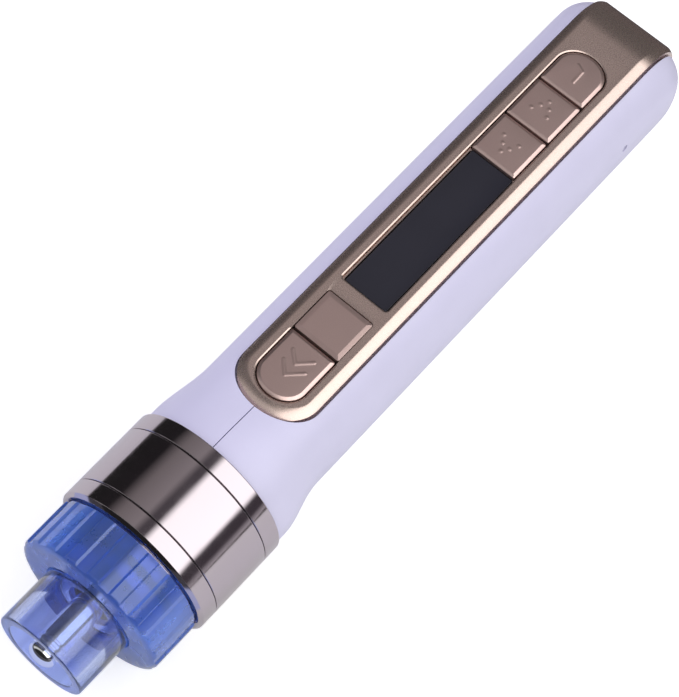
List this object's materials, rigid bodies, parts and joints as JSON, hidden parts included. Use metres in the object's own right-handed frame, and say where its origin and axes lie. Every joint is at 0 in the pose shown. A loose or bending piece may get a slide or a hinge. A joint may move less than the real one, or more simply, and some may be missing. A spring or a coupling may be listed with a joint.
{
  "type": "mesotherapy pen",
  "caption": "Hand-held mesotherapy pen: clear nozzle in a ribbed depth collar that turns, polished head rings, rounded split grip and a bevelled key panel with a display.",
  "frame": {"origin": "on the surface the pen lies on, under the middle of its length and its width", "axes": "+X from the nozzle towards the tail, +Z out of the key panel, +Y to the left of a user who looks at the panel with the nozzle ahead"},
  "size_m": [0.1836, 0.036, 0.036],
  "materials": {
    "clear_blue": "clear blue moulded plastic",
    "polished_nickel": "polished nickel plate",
    "polished_steel": "polished steel",
    "plain_steel": "plain steel",
    "black_plastic": "matt black plastic",
    "black_rubber": "matt black rubber",
    "lilac_white_plastic": "satin lilac-white plastic",
    "rose_gold_lacquer": "satin rose-gold lacquer",
    "dark_glass": "dark display glass",
    "circuit_board": "green solder mask",
    "brass": "turned brass",
    "battery_sleeve": "blue shrink sleeve",
    "red_wire": "red wire insulation",
    "black_wire": "black wire insulation"
  },
  "bodies": {
    "grip": {"front_ring": "polished_nickel", "barrel_ring": "polished_nickel", "rear_ring": "polished_nickel", "nose_core": "polished_nickel", "collar_seal": "black_rubber", "guide_bush": "black_plastic", "rod_wiper": "black_rubber", "return_spring": "plain_steel", "motor_can": "plain_steel", "motor_end_cap": "black_plastic", "shell_left": "lilac_white_plastic", "shell_right": "lilac_white_plastic", "panel_frame": "rose_gold_lacquer", "display_window": "dark_glass", "display_module": "black_plastic", "control_board": "circuit_board", "start_switch": "black_plastic", "blank_switch": "black_plastic", "down_switch": "black_plastic", "up_switch": "black_plastic", "power_switch": "black_plastic", "driver_chip": "black_plastic", "main_chip": "black_plastic", "battery_cell": "battery_sleeve", "battery_cradle": "black_plastic", "charge_socket": "black_plastic", "shell_screw_front_upper": "plain_steel", "shell_screw_front_lower": "plain_steel", "shell_screw_rear_upper": "plain_steel", "shell_screw_rear_lower": "plain_steel", "board_screw_bar": "plain_steel", "board_screw_rear": "plain_steel", "motor_lead_red": "red_wire", "motor_lead_black": "black_wire", "battery_lead_red": "red_wire", "battery_lead_black": "black_wire"},
    "collar": {"depth_collar": "clear_blue"},
    "nozzle_cup": {"nozzle": "clear_blue"},
    "rod": {"push_rod": "polished_steel"},
    "cam": {"swash_cam": "brass", "motor_shaft": "polished_steel"},
    "start_button": {"start_key": "rose_gold_lacquer"},
    "blank_button": {"blank_key": "rose_gold_lacquer"},
    "down_button": {"down_key": "rose_gold_lacquer"},
    "up_button": {"up_key": "rose_gold_lacquer"},
    "power_button": {"power_key": "rose_gold_lacquer"}
  },
  "joints": [
    {"name": "collar_turn", "type": "hinge", "parent": "grip", "child": "collar", "pos_m": [-0.07225, 0, 0.018], "axis": [1, 0, 0], "range_deg": [0, 270]},
    {"name": "nozzle_slide", "type": "slide", "parent": "grip", "child": "nozzle_cup", "axis": [1, 0, 0], "range_m": [0, 0.0025]},
    {"name": "push_rod_slide", "type": "slide", "parent": "grip", "child": "rod", "axis": [-1, 0, 0], "range_m": [0, 0.002], "stiffness_N_per_m": 250, "deforming": ["return_spring"]},
    {"name": "cam_spin", "type": "hinge", "parent": "grip", "child": "cam", "pos_m": [-0.05795, 0, 0.018], "axis": [1, 0, 0], "continuous": true},
    {"name": "start_key_press", "type": "slide", "parent": "grip", "child": "start_button", "axis": [0, 0, -1], "range_m": [0, 0.00035], "stiffness_N_per_m": 600},
    {"name": "blank_key_press", "type": "slide", "parent": "grip", "child": "blank_button", "axis": [0, 0, -1], "range_m": [0, 0.00035], "stiffness_N_per_m": 600},
    {"name": "down_key_press", "type": "slide", "parent": "grip", "child": "down_button", "axis": [0, 0, -1], "range_m": [0, 0.00035], "stiffness_N_per_m": 600},
    {"name": "up_key_press", "type": "slide", "parent": "grip", "child": "up_button", "axis": [0, 0, -1], "range_m": [0, 0.00035], "stiffness_N_per_m": 600},
    {"name": "power_key_press", "type": "slide", "parent": "grip", "child": "power_button", "axis": [0, 0, -1], "range_m": [0, 0.00035], "stiffness_N_per_m": 600}
  ],
  "couplings": [
    {"joint": "nozzle_slide", "follows": "collar_turn", "m_per_rad": 0.0005305}
  ]
}
